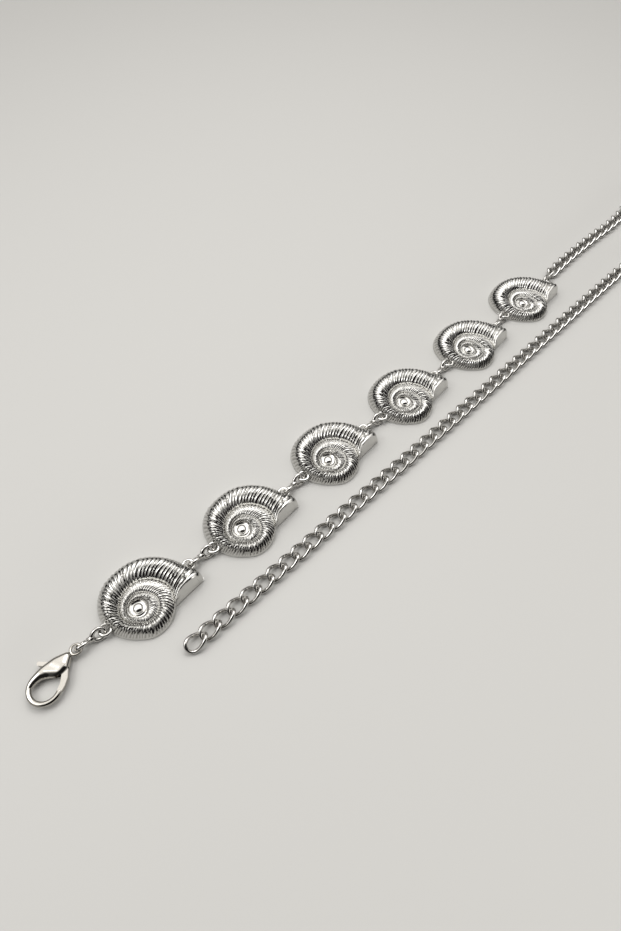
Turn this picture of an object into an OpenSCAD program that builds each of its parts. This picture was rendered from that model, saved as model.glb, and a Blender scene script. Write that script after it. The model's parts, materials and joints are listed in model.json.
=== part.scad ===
// Waist chain: six cast ammonite shells in a row, joined by twisted double links,
// with a lobster clasp at one end and a long curb chain at the other.
// It lies on a table as photographed. +X runs along the row of shells, away from the clasp.

/* [Shells] */
// Width of a shell, from its far side to the tip of its mouth
shell_w = 39; // [34:0.5:44]
// Height of the highest whorl above the flat back
shell_h = 6.4; // [5.4:0.1:7.6]
// Height of the upright rim round the back
rim_h = 0.9; // [0.6:0.1:1.4]
// How far a rib stands above the grooves beside it
rib_h = 0.34; // [0.15:0.01:0.5]
// Radius of the smooth bead in the middle of the spiral
bead_r = 1.9; // [1.2:0.1:2.3]
// Number of shells in the row
shell_count = 6; // [6:1:6]

/* [Cast loops] */
// Radius of a shell's loop, at the middle of its wire
loop_r = 2.1; // [2:0.05:2.5]
// Thickness of a shell's loop
loop_wire = 1.3; // [1:0.05:1.4]
// Height of the loops above the table
loop_z = 2.35; // [2.2:0.05:2.5]
// How far a loop's centre lies outside the rim
loop_out = 0.6; // [0.5:0.05:1.2]

/* [Double links] */
// Length of a double link, between the middles of its two end wires
twin_l = 11.15; // [10.8:0.05:11.6]
// Radius of each of its two rings, at the middle of the wire
twin_r = 2.1; // [2:0.05:2.2]
// Thickness of its wire
twin_wire = 1.25; // [1.1:0.05:1.3]
// How far each ring is turned out of the table's plane, one to each side
twin_tilt = 56; // [52:1:60]
// Thickness of its waist
waist_d = 1.8; // [1.5:0.1:2]

/* [Curb chain] */
// Number of links
link_count = 88; // [80:1:90]
// Distance from one link to the next
link_pitch = 6.5; // [6.4:0.02:6.6]
// Half the length of a link, to the middle of its wire
link_a = 4.15; // [4.1:0.01:4.2]
// Half the width of a link, to the middle of its wire
link_b = 2.7; // [2.6:0.05:2.9]
// How far the twist lifts and lowers the corners of a link
link_rise = 1.25; // [1.2:0.05:1.35]
// Thickness of the wire
link_wire = 1.5; // [1.2:0.05:1.5]

/* [Clasp] */
// Radius of the bow, at the middle of its wire
bow_r = 5.4; // [5:0.1:5.8]
// Thickness of the bow
bow_wire = 2; // [1.7:0.1:2.2]
// Distance from the eye to the middle of the bow
bow_at = 15.3; // [14.8:0.1:16]
// Radius of the eye, at the middle of its wire
eye_r = 1.9; // [1.8:0.05:2]
// Thickness of the eye
eye_wire = 1.1; // [1:0.05:1.2]
// Thickness of the shoulder that holds the lever
shoulder_t = 4.4; // [4:0.1:5]
// Thickness of the lever
lever_t = 1.6; // [1.2:0.1:1.9]
// Radius of the lever's hub, round the rivet
hub_r = 1.55; // [1.4:0.05:1.7]
// Distance from the rivet to the lever's tip
gate_reach = 8.65; // [8.4:0.05:8.9]
// Diameter of the lever's thumb nub
thumb_d = 1.5; // [1.2:0.1:1.8]
// Diameter of the rivet
rivet_d = 1.3; // [1:0.1:1.6]
// Clearance of the lever in its slot, on each side
slot_gap = 0.15; // [0.1:0.05:0.25]
// Clearance between the lever's tip and the hook
tip_gap = 0.15; // [0.1:0.05:0.3]

/* [Hidden] */

wire_gap = 0.6;     // slack along the row between wires that hang in each other
rivet_gap = 0.02;   // round a fixed rivet
hub_gap = 0.05;     // round the rivet in the turning lever
smooth = 48;

// Where the parts lie on the table: the first shell's bead, from the middle of the whole layout
first_shell = [-180.05, 19.06];
// Turn of each double link between two shells, in degrees from the row's direction
twin_lean = [-4, 2, -3, 3.5, 9];
// Turn of the double link at the clasp, and of the clasp itself
clasp_twin_turn = 174;
clasp_turn = 196.5;
// Turn of the double link that carries the chain
chain_twin_turn = 16;
// The chain's route from its first link: along the row, round the far end and back
chain_route = [
    [0, 0], [16.8, 1.1], [36.8, 1.5], [50.2, 1.4], [63.2, 1.2], [75.2, 2], [88.2, 3.6], [101, 2.2],
    [113.5, -6.6], [120.9, -21.8], [120.9, -38.5], [113.1, -51.6], [99.6, -59], [84.1, -58.8],
    [71.7, -52.2], [63.2, -42.8], [55.2, -34.3], [45.5, -28.6], [33.5, -26.2], [16.8, -25.9],
    [-43.2, -26.9], [-103.2, -28.1], [-163.2, -28.8], [-223.2, -29.2], [-278.2, -29.7], [-301.2, -29.9]
];

function eased(t) = let (u = min(max(t, 0), 1)) u * u * (3 - 2 * u);
function mix(a, b, t) = a + (b - a) * t;
function polar(r, a) = [r * cos(a), r * sin(a)];
function turned(p, a) = [p.x * cos(a) - p.y * sin(a), p.x * sin(a) + p.y * cos(a)];

// A smooth value between the entries of a table, at a place counted in entries
function between(table, at) =
    let (
        last = len(table) - 1,
        k = min(floor(at), last - 1),
        f = at - k,
        a = table[max(k - 1, 0)],
        b = table[k],
        c = table[k + 1],
        d = table[min(k + 2, last)]
    )
    b + f / 2 * (c - a + f * (2 * a - 5 * b + 4 * c - d + f * (3 * (b - c) + d - a)));

/* The ammonite shell */

columns = 60;           // columns of points in one turn, a rib on every second one
mouth_angle = -37;      // direction of the mouth's inner corner from the bead
mouth_lean = 20;        // how far the mouth's outer corner leads the inner one, in degrees
per_turn = 12;          // entries of the spiral table in one turn
// Reach of the spiral edge from the bead, as shares of shell_w: three turns inward from the mouth
spiral = [
    0.660, 0.588, 0.558, 0.532, 0.485, 0.448, 0.385, 0.325, 0.288, 0.283, 0.315, 0.335,
    0.345, 0.342, 0.308, 0.272, 0.224, 0.193, 0.176, 0.166, 0.155, 0.146, 0.168, 0.187,
    0.195, 0.186, 0.162, 0.148, 0.126, 0.111, 0.104, 0.110, 0.108, 0.105, 0.100, 0.090, 0.082
];
// Height of the whorl's crest at each quarter turn, as shares of shell_h
crest = [0.90, 1.00, 0.90, 0.66, 0.70, 0.72, 0.66, 0.58, 0.60];
// Height of the seam between two whorls at each quarter turn, as shares of shell_h
seam = [0.44, 0.44, 0.44, 0.44, 0.44, 0.50, 0.50, 0.50, 0.52, 0.52, 0.50, 0.48, 0.46];
// The outer whorl's section: share of the way in, and height as a share of the dome
section = [[0.12, 0.50], [0.46, 1.00], [0.80, 0.80]];
inner_section = [0.5, 0.9];
rise_from = 0.88;       // share of a turn at which the rim starts to climb to the seam
rise_over = 0.16;
bead_points = 15;
bead_top = 0.66;        // height of the bead as a share of shell_h
bead_waist = [0.66, 0.75];  // the bead's upper ring: shares of its radius and of its height
bead_sink = 0.1;        // how far the bead's foot goes below the floor round it
columns_a_point = columns / bead_points;

function column_angle(i) =
    mouth_angle + i * 360 / columns + mouth_lean * (1 - eased(4 * i / columns));
function reach(i) = shell_w * between(spiral, i * per_turn / columns);
function crest_z(i) = shell_h * between(crest, 4 * i / columns);
function seam_z(i) = shell_h * between(seam, 4 * i / columns);
function edge_z(i) = mix(rim_h, seam_z(i), eased((i / columns - rise_from) / rise_over));
function edge_point(i) = concat(polar(reach(i), column_angle(i)), edge_z(i));

// A point across the whorl that starts at column i: in is the share of the way to the next whorl
function whorl_point(i, in, dome, rib) =
    let (
        r = mix(reach(i), reach(i + columns), in),
        a = mix(column_angle(i), column_angle(i + columns) - 360, in),
        foot = mix(edge_z(i), edge_z(i + columns), in),
        lift = (crest_z(i) - foot) * dome,
        ridge = i % 2 == 0 ? rib : 0
    )
    concat(polar(r + ridge * (0.5 - in), a), foot + lift + ridge * dome);

edge_n = 3 * columns + 1;
outer_n = (columns + 1) * len(section);
inner_n = columns;
wall_n = columns + 1;
outer_at = edge_n;
inner_at = outer_at + outer_n;
wall_at = inner_at + inner_n;
back_at = wall_at + wall_n;
ring_at = back_at + 1;
foot_at = ring_at + bead_points;
cap_at = foot_at + bead_points;
apex_at = cap_at + bead_points;

function outer_id(i, j) =
    j == 0 ? i : j > len(section) ? i + columns : outer_at + i * len(section) + j - 1;
function inner_id(i) = inner_at + i - columns - 1;
function ring_id(k) = k % bead_points == 0 ? 3 * columns : ring_at + k % bead_points;
function foot_id(k) = foot_at + k % bead_points;
function cap_id(k) = cap_at + k % bead_points;

module ammonite() {
    core_r = reach(3 * columns);
    core_a = column_angle(2 * columns);
    core_z = edge_z(3 * columns);
    bead_z = shell_h * bead_top;
    step = 360 / bead_points;
    points = concat(
        [for (i = [0 : 3 * columns]) edge_point(i)],
        [for (i = [0 : columns]) for (s = section) whorl_point(i, s[0], s[1], rib_h)],
        [for (i = [columns + 1 : 2 * columns])
            whorl_point(i, inner_section[0], inner_section[1], rib_h / 2)],
        [for (i = [0 : columns]) concat(polar(reach(i), column_angle(i)), 0)],
        [[0, 0, 0]],
        [for (k = [0 : bead_points - 1]) concat(polar(core_r, core_a + k * step), core_z)],
        [for (k = [0 : bead_points - 1]) concat(polar(bead_r, core_a + k * step), core_z - bead_sink)],
        [for (k = [0 : bead_points - 1])
            concat(polar(bead_r * bead_waist[0], core_a + k * step), mix(core_z, bead_z, bead_waist[1]))],
        [[0, 0, bead_z]]
    );
    last = len(section) + 1;
    faces = concat(
        // the outer whorl
        [for (i = [0 : columns - 1]) for (j = [0 : last - 1]) for (half = [0, 1])
            half == 0
                ? [outer_id(i, j), outer_id(i + 1, j), outer_id(i, j + 1)]
                : [outer_id(i + 1, j), outer_id(i + 1, j + 1), outer_id(i, j + 1)]],
        // where the outer whorl's last column passes under the mouth and becomes the inner whorl
        let (c = columns, b = inner_id(columns + 1)) [
            [outer_id(c, 0), c + 1, outer_id(c, 1)], [outer_id(c, 1), c + 1, b],
            [outer_id(c, 1), b, outer_id(c, 2)], [outer_id(c, 2), b, outer_id(c, 3)],
            [outer_id(c, 3), b, 2 * c + 1], [outer_id(c, 3), 2 * c + 1, 2 * c]
        ],
        // the inner whorl
        [for (i = [columns + 1 : 2 * columns - 1]) for (f = [
            [i, i + 1, inner_id(i)], [i + 1, inner_id(i + 1), inner_id(i)],
            [inner_id(i), inner_id(i + 1), i + columns],
            [inner_id(i + 1), i + columns + 1, i + columns]
        ]) f],
        [[2 * columns, 3 * columns, inner_id(2 * columns)]],
        // the floor round the bead
        [for (k = [0 : bead_points - 1]) let (i = 2 * columns + k * columns_a_point)
            for (m = [0 : columns_a_point - 1]) [i + m, i + m + 1, ring_id(k)]],
        [for (k = [0 : bead_points - 2])
            [2 * columns + (k + 1) * columns_a_point, ring_id(k + 1), ring_id(k)]],
        // the bead
        [for (k = [0 : bead_points - 1]) for (f = [
            [ring_id(k), ring_id(k + 1), foot_id(k)], [ring_id(k + 1), foot_id(k + 1), foot_id(k)],
            [foot_id(k), foot_id(k + 1), cap_id(k)], [foot_id(k + 1), cap_id(k + 1), cap_id(k)],
            [cap_id(k), cap_id(k + 1), apex_at]
        ]) f],
        // the rim's wall, the flat back and the mouth
        [for (i = [0 : columns - 1]) for (f = [
            [wall_at + i, wall_at + i + 1, i], [wall_at + i + 1, i + 1, i],
            [back_at, wall_at + i + 1, wall_at + i]
        ]) f],
        [[back_at, wall_at, wall_at + columns]],
        [
            [wall_at, 0, outer_id(0, 1)], [wall_at, outer_id(0, 1), outer_id(0, 2)],
            [wall_at, outer_id(0, 2), outer_id(0, 3)], [wall_at, outer_id(0, 3), columns],
            [wall_at, columns, wall_at + columns]
        ]
    );
    // each face runs clockwise, seen from outside
    polyhedron(points, [for (f = faces) [f[0], f[2], f[1]]]);
}

/* Rings and links */

module ring(r, wire) rotate_extrude($fn = smooth) translate([r, 0]) circle(d = wire, $fn = 24);

// The columns whose rim carries the two cast loops: towards the clasp, and away from it
loop_columns = [35, 4];
function loop_place(i) = polar(reach(i) + loop_out, column_angle(i));
near_loop = loop_place(loop_columns[0]);
far_loop = loop_place(loop_columns[1]);

module shell(k) {
    color("silver")
    translate(concat(shell_place(k), 0)) {
        ammonite();
        for (p = [near_loop, far_loop]) translate([p.x, p.y, loop_z]) ring(loop_r, loop_wire);
    }
}

// How far past a ring's centre the end wire of a double link hangs in it
function bite(r, wire) = r - wire / 2 - twin_wire / 2 - wire_gap;
loop_bite = bite(loop_r, loop_wire);
eye_bite = bite(eye_r, eye_wire);
twin_z = twin_r * sin(twin_tilt) + twin_wire / 2;
twin_span = twin_l + 2 * loop_bite;

// Each shell hangs on the one before it
function shell_place(k) =
    k == 0 ? first_shell
    : shell_place(k - 1) + far_loop + polar(twin_span, twin_lean[k - 1]) - near_loop;

eye_place = shell_place(0) + near_loop + polar(twin_l + loop_bite + eye_bite, clasp_twin_turn);
chain_hang = shell_place(shell_count - 1) + far_loop;
chain_start = chain_hang + polar(loop_bite + twin_l, chain_twin_turn)
    + [link_a - (link_wire + twin_wire) / 2 - wire_gap, 0];

// Two rings joined at the waist; side tells to which side the ring nearer the clasp is turned
module twin_link(place, turn, side = 1) {
    offset_x = twin_l / 2 - twin_r;
    color("silver")
    translate([place.x, place.y, twin_z]) rotate(turn) {
        for (s = [-1, 1]) translate([s * offset_x, 0, 0])
            rotate([s * side * twin_tilt, 0, 0]) ring(twin_r, twin_wire);
        rotate([0, 90, 0])
            cylinder(d = waist_d, h = 2 * (offset_x - twin_r) + twin_wire / 2, center = true, $fn = smooth);
    }
}

module twin_between(k) {
    hang = shell_place(k - 1) + far_loop;
    twin_link(hang + polar(twin_span / 2, twin_lean[k - 1]), twin_lean[k - 1]);
}

/* The curb chain */

route_steps = 12;       // points worked out between two chosen points of the route
route = [for (k = [0 : len(chain_route) - 2]) for (m = [0 : route_steps - 1])
    chain_start + between(chain_route, k + m / route_steps)];

// The next link's centre: the first place along the route that is a pitch away from here
function next_at(here, k) =
    norm(route[k + 1] - here) >= link_pitch || k + 2 >= len(route) ? k : next_at(here, k + 1);
function meet(here, a, b) =
    let (d = b - a, e = a - here, q = d * d, h = d * e, c = e * e - link_pitch * link_pitch)
    a + d * ((-h + sqrt(max(h * h - q * c, 0))) / q);
function link_places(left, here, k) =
    left == 0 ? []
    : let (n = next_at(here, k))
        concat([here], link_places(left - 1, meet(here, route[n], route[n + 1]), n));
links = link_places(link_count, route[0], 0);

link_sides = 10;
wire_sides = 5;
link_z = link_rise + link_wire / 2;

function link_line(a) = [link_a * cos(a), link_b * sin(a), -link_rise * sin(2 * a)];
function unit(v) = v / norm(v);
// A point of the wire's skin: a is the place along the link, w the turn round the wire
function link_skin(a, w) =
    let (
        along = unit([-link_a * sin(a), link_b * cos(a), -2 * link_rise * cos(2 * a)]),
        side = unit(cross(along, [0, 0, 1])),
        up = cross(side, along)
    )
    link_line(a) + link_wire / 2 * (side * cos(w) + up * sin(w));
function link_turn(n) =
    let (a = links[max(n - 1, 0)], b = links[min(n + 1, link_count - 1)]) atan2(b.y - a.y, b.x - a.x);

module curb_chain() {
    per_link = link_sides * wire_sides;
    points = [for (n = [0 : link_count - 1]) let (t = link_turn(n))
        for (s = [0 : link_sides - 1]) for (w = [0 : wire_sides - 1])
            let (p = link_skin(s * 360 / link_sides, (w + 0.5) * 360 / wire_sides))
                concat(links[n] + turned(p, t), p.z + link_z)];
    faces = [for (n = [0 : link_count - 1]) for (s = [0 : link_sides - 1]) for (w = [0 : wire_sides - 1])
        let (
            base = n * per_link,
            s2 = (s + 1) % link_sides,
            w2 = (w + 1) % wire_sides,
            a = base + s * wire_sides + w,
            b = base + s2 * wire_sides + w,
            c = base + s2 * wire_sides + w2,
            d = base + s * wire_sides + w2
        )
        for (f = [[a, b, c], [a, c, d]]) f];
    color("gainsboro") polyhedron(points, faces);
}

/* The clasp, in its own frame: the eye at the origin, x towards the tip of the bow */

clasp_z = shoulder_t / 2;
hook_from = 112;        // where the hook's end starts on the bow, in degrees from the tip
arm_from = -118;        // where the bow meets the arm on the other side
// Places in the clasp's plane, as shares of bow_at
pivot = bow_at * [0.412, 0.039];
thumb_at = bow_at * [0.667, -0.484];
gate_outline = bow_at * [[0.366, 0.124], [0.575, 0.300], [0.745, 0.370], [0.928, 0.400],
    [0.928, 0.298], [0.745, 0.240], [0.620, 0.155], [0.500, 0.050]];
thumb_outline = bow_at * [[0.340, -0.013], [0.621, -0.477], [0.706, -0.458], [0.497, 0.013]];
// The balls that the shoulder is drawn over: place as shares of bow_at, thickness of shoulder_t
shoulder = [[0.150, 0, 0.59], [0.405, 0.098, 1], [0.440, -0.165, 1]];
arm_root = [0.630, -0.300, 0.72];
// Room for the swinging lever, from the rivet, as shares of bow_at: the gate's side and the thumb's
gate_slot = bow_at * [[-0.065, 0.078], [0.150, 0.294], [0.497, 0.294], [0.497, 0],
    [0.193, -0.049], [0, -0.105]];
thumb_slot = bow_at * [[-0.105, -0.026], [-0.020, -0.621], [0.366, -0.621], [0.098, -0.013]];

module on_clasp() translate([eye_place.x, eye_place.y, clasp_z]) rotate(clasp_turn) children();

module ball(place, d) translate([place.x, place.y, 0]) sphere(d = d, $fn = 14);
module shoulder_ball(b) ball(bow_at * [b[0], b[1]], shoulder_t * b[2]);

module clasp_body() {
    arm_end = [bow_at, 0] + polar(bow_r, arm_from);
    slot_t = lever_t + 2 * slot_gap;
    color("gainsboro")
    on_clasp() difference() {
        union() {
            ring(eye_r, eye_wire);
            hull() for (b = shoulder) shoulder_ball(b);
            hull() {
                shoulder_ball(shoulder[2]);
                shoulder_ball(arm_root);
            }
            hull() {
                shoulder_ball(arm_root);
                ball(arm_end, bow_wire * 1.02);
            }
            // the bow, whose end is hollowed round the rivet so that the lever's tip swings past it
            difference() {
                translate([bow_at, 0, 0]) rotate(arm_from)
                    rotate_extrude(angle = hook_from - arm_from, $fn = smooth)
                        translate([bow_r, 0]) circle(d = bow_wire, $fn = 24);
                translate([pivot.x, pivot.y, -bow_wire])
                    cylinder(r = gate_reach + tip_gap, h = 2 * bow_wire, $fn = 96);
            }
        }
        // the slot for the lever, and the bore for the rivet
        linear_extrude(slot_t, center = true) translate(pivot) {
            circle(hub_r + slot_gap, $fn = smooth);
            polygon(gate_slot);
            polygon(thumb_slot);
        }
        translate([pivot.x, pivot.y, -shoulder_t])
            cylinder(d = rivet_d + 2 * rivet_gap, h = 2 * shoulder_t, $fn = smooth);
    }
}

module clasp_lever() {
    color("whitesmoke")
    on_clasp() difference() {
        linear_extrude(lever_t, center = true) {
            translate(pivot) circle(hub_r, $fn = smooth);
            intersection() {
                translate(pivot) circle(gate_reach, $fn = 96);
                polygon(gate_outline);
            }
            polygon(thumb_outline);
            translate(thumb_at) circle(d = thumb_d, $fn = smooth);
        }
        translate([pivot.x, pivot.y, -lever_t])
            cylinder(d = rivet_d + 2 * hub_gap, h = 2 * lever_t, $fn = smooth);
    }
}

module clasp_rivet()
    color("silver") on_clasp() translate([pivot.x, pivot.y, 0])
        cylinder(d = rivet_d, h = shoulder_t * 0.97, center = true, $fn = smooth);

clasp_body();
clasp_lever();
clasp_rivet();
shell(0);  // shell_1
shell(1);  // shell_2
shell(2);  // shell_3
shell(3);  // shell_4
shell(4);  // shell_5
shell(5);  // shell_6
twin_link(eye_place - polar(twin_l / 2 + eye_bite, clasp_twin_turn), clasp_twin_turn);  // twin_link_1
twin_between(1);  // twin_link_2
twin_between(2);  // twin_link_3
twin_between(3);  // twin_link_4
twin_between(4);  // twin_link_5
twin_between(5);  // twin_link_6
twin_link(chain_hang + polar(loop_bite + twin_l / 2, chain_twin_turn), chain_twin_turn, -1);  // twin_link_7
curb_chain();
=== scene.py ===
"""Dresses the waist chain: six cast ammonite shells, double links, lobster clasp, curb chain.

Sizes in the classes are millimetres in the part's own frame: +X runs along the row of shells, the
table is z = 0. Meshes are built in metres.
"""

from __future__ import annotations

import json
import logging
import math
from contextlib import contextmanager
from dataclasses import dataclass, field
from enum import Enum
from typing import Iterator

import bpy
import numpy as np
from mathutils import Matrix

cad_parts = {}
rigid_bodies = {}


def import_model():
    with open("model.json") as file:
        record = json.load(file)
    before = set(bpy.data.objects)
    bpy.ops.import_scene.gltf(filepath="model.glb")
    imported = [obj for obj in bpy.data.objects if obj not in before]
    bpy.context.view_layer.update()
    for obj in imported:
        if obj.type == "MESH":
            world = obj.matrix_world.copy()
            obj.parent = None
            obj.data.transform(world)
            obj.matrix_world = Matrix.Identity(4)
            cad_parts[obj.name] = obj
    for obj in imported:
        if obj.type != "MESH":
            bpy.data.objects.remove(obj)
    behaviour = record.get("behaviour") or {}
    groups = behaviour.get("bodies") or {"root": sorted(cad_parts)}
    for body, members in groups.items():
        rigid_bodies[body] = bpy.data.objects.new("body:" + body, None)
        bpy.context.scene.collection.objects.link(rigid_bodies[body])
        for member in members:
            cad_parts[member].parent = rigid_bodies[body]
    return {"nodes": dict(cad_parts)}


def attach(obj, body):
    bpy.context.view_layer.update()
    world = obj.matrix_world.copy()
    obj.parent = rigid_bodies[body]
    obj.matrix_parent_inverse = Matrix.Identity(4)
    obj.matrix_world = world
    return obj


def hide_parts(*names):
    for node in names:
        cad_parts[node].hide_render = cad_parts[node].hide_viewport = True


LOG = logging.getLogger("waist_chain")
MM = 0.001

Array = np.ndarray
Piece = bpy.types.Object
Pair = tuple[float, float]
Point = tuple[float, float, float]

# sockets of the colour Mix node
MIX_A, MIX_B, MIX_RESULT = "6", "7", 2

# the colour that rib valleys are darkened towards: painted shade in the casting's grooves
GROOVE_SHADE_COLOUR = "5B5954"


class Slot(Enum):
    """The record's material slots."""

    SHELL = "shell_plating"
    CLASP = "clasp_nickel"
    CHAIN = "chain_plating"


class Body(Enum):
    """The body that the new pieces move with; the lever is a CAD node on its own body."""

    BELT = "belt"


# Small helpers


def linear(hex_colour: str) -> tuple[float, float, float, float]:
    """Turns an sRGB hex colour to linear.

    Args:
        hex_colour: six hex digits.

    Returns:
        Linear red, green, blue and an alpha of one.
    """
    parts = [int(hex_colour[k:k + 2], 16) / 255 for k in (0, 2, 4)]
    values = [c / 12.92 if c <= 0.04045 else ((c + 0.055) / 1.055) ** 2.4 for c in parts]
    return (values[0], values[1], values[2], 1.0)


def eased(t: Array | float) -> Array:
    """Goes from 0 to 1 with a soft start and a soft end."""
    u = np.clip(t, 0.0, 1.0)
    return u * u * (3 - 2 * u)


def mix(a: Array | float, b: Array | float, t: Array | float) -> Array:
    """Goes from a to b as t goes from 0 to 1."""
    return a + (b - a) * t


def between(table: Array, at: Array) -> Array:
    """Reads a smooth value between the entries of a table.

    Args:
        table: the entries, one for each whole number.
        at: places counted in entries.

    Returns:
        The smoothed values.
    """
    last = len(table) - 1
    at = np.clip(at, 0, last)
    k = np.minimum(np.floor(at).astype(int), last - 1)
    f = at - k
    if table.ndim > 1:
        f = f[..., None]
    a, b, c, d = table[np.maximum(k - 1, 0)], table[k], table[k + 1], table[np.minimum(k + 2, last)]
    return b + f / 2 * (c - a + f * (2 * a - 5 * b + 4 * c - d + f * (3 * (b - c) + d - a)))


def ramp(tree: bpy.types.NodeTree, value: bpy.types.NodeSocket, zone: Pair,
         ends: Pair) -> bpy.types.NodeSocket:
    """Goes softly from one end to the other as a value crosses a zone."""
    node = add_node(tree, "ShaderNodeMapRange",
                    {"interpolation_type": "SMOOTHSTEP", "From Min": zone[0], "From Max": zone[1],
                     "To Min": ends[0], "To Max": ends[1]}, {"Value": value})
    return node.outputs["Result"]


def table(*entries: float) -> Array:
    """Holds a class's table of numbers."""
    return field(default_factory=lambda: np.array(entries))


def deselect() -> None:
    """Leaves nothing selected."""
    for each in bpy.context.selected_objects:
        each.select_set(False)


def alone(piece: Piece) -> None:
    """Makes an object the only selected one, and the active one."""
    deselect()
    piece.select_set(True)
    bpy.context.view_layer.objects.active = piece


def places(piece: Piece) -> Array:
    """Reads a mesh's points, in metres."""
    points = np.empty(len(piece.data.vertices) * 3)
    piece.data.vertices.foreach_get("co", points)
    return points.reshape(-1, 3)


def put(piece: Piece, points: Array) -> None:
    """Writes a mesh's points, in metres."""
    piece.data.vertices.foreach_set("co", np.ascontiguousarray(points, dtype=float).ravel())
    piece.data.update()


def pick(piece: Piece, chosen: Array) -> None:
    """Selects the chosen points of a mesh and nothing else.

    Args:
        piece: the object.
        chosen: one truth value a point.
    """
    mesh = piece.data
    mesh.polygons.foreach_set("select", np.zeros(len(mesh.polygons), dtype=bool))
    mesh.edges.foreach_set("select", np.zeros(len(mesh.edges), dtype=bool))
    mesh.vertices.foreach_set("select", np.asarray(chosen, dtype=bool))


def picked(piece: Piece) -> Array:
    """Reads which points of a mesh are selected."""
    chosen = np.empty(len(piece.data.vertices), dtype=bool)
    piece.data.vertices.foreach_get("select", chosen)
    return chosen


@contextmanager
def editing(piece: Piece) -> Iterator[None]:
    """Opens a piece in edit mode with its points' selection, and closes it again."""
    alone(piece)
    bpy.ops.object.mode_set(mode="EDIT")
    bpy.ops.mesh.select_mode(type="VERT")
    try:
        yield
    finally:
        bpy.ops.object.mode_set(mode="OBJECT")


def joined(pieces: list[Piece], name: str) -> Piece:
    """Joins several objects in one.

    Args:
        pieces: the objects, the first of which stays.
        name: the new object's name.

    Returns:
        The joined object.
    """
    deselect()
    for each in pieces:
        each.select_set(True)
    bpy.context.view_layer.objects.active = pieces[0]
    if len(pieces) > 1:
        bpy.ops.object.join()
    whole = bpy.context.view_layer.objects.active
    whole.name = whole.data.name = name
    return whole


def settled(piece: Piece) -> None:
    """Moves an object's place and turn into its mesh."""
    alone(piece)
    bpy.ops.object.transform_apply(location=True, rotation=True, scale=True)


def applied(piece: Piece, kind: str, **settings: object) -> None:
    """Adds a modifier with its settings and applies it.

    Args:
        piece: the object.
        kind: Blender's name for the modifier.
        **settings: the modifier's settings.
    """
    alone(piece)
    modifier = piece.modifiers.new(kind.lower(), kind)
    for key, value in settings.items():
        setattr(modifier, key, value)
    bpy.ops.object.modifier_apply(modifier=modifier.name)


def smoothed(piece: Piece, degrees: float = 180.0) -> None:
    """Shades a piece smooth, with sharp edges above an angle."""
    alone(piece)
    if degrees >= 180:
        bpy.ops.object.shade_smooth()
    else:
        bpy.ops.object.shade_smooth_by_angle(angle=math.radians(degrees))


def wire_ring(radius: float, wire: float, at: Point, tilt: float = 0.0,
              around: int = 48, across: int = 18) -> Piece:
    """Makes a closed ring of round wire.

    Args:
        radius, wire: to the middle of the wire, and its thickness, in mm.
        at, tilt: the ring's centre in mm, and its turn about the x axis in degrees.
        around, across: segments round the ring and round the wire.

    Returns:
        The ring's object, its place in its mesh.
    """
    deselect()
    bpy.ops.mesh.primitive_torus_add(
        major_radius=radius * MM, minor_radius=wire / 2 * MM, major_segments=around,
        minor_segments=across, location=[c * MM for c in at], rotation=(math.radians(tilt), 0, 0))
    ring = bpy.context.active_object
    settled(ring)
    return ring


def ball(at: Pair, width: float) -> Piece:
    """Makes one of the balls that a cast form is drawn over.

    Args:
        at: its place in the clasp's plane, in mm.
        width: its diameter, in mm.

    Returns:
        The ball's object.
    """
    deselect()
    bpy.ops.mesh.primitive_uv_sphere_add(segments=40, ring_count=24, radius=width / 2 * MM,
                                         location=(at[0] * MM, at[1] * MM, 0))
    form = bpy.context.active_object
    settled(form)
    return form


def drawn_over(balls: list[Piece], name: str) -> Piece:
    """Draws one tight skin over several balls."""
    form = joined(balls, name)
    pick(form, np.ones(len(form.data.vertices), dtype=bool))
    with editing(form):
        bpy.ops.mesh.convex_hull()
    return form


def placed(model: Piece, name: str, at: Array, level: float, turn: float) -> Piece:
    """Copies a model with its own mesh and puts the copy at its place.

    Args:
        model: the piece modelled once.
        name: the copy's name.
        at, level: x and y, and z, in mm.
        turn: its turn about z, in degrees.

    Returns:
        The copy, its place in its mesh.
    """
    mesh = model.data.copy()
    mesh.name = name
    mesh.transform(Matrix.Translation((at[0] * MM, at[1] * MM, level * MM))
                   @ Matrix.Rotation(math.radians(turn), 4, "Z"))
    copy = bpy.data.objects.new(name, mesh)
    bpy.context.collection.objects.link(copy)
    return copy


# Finishes


def add_node(tree: bpy.types.NodeTree, kind: str, settings: dict[str, object] | None = None,
             links: dict[str, bpy.types.NodeSocket] | None = None) -> bpy.types.Node:
    """Adds a node with its settings and its links.

    Args:
        tree: the material's node tree.
        kind: Blender's name for the node.
        settings: attributes of the node, or values of its inputs by name or number.
        links: sockets that feed its inputs, by name or number.

    Returns:
        The new node.
    """
    node = tree.nodes.new(kind)
    for key, value in (settings or {}).items():
        if key.isdigit() or key in node.inputs:
            node.inputs[int(key) if key.isdigit() else key].default_value = value
        else:
            setattr(node, key, value)
    for key, socket in (links or {}).items():
        tree.links.new(socket, node.inputs[int(key) if key.isdigit() else key])
    return node


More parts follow.
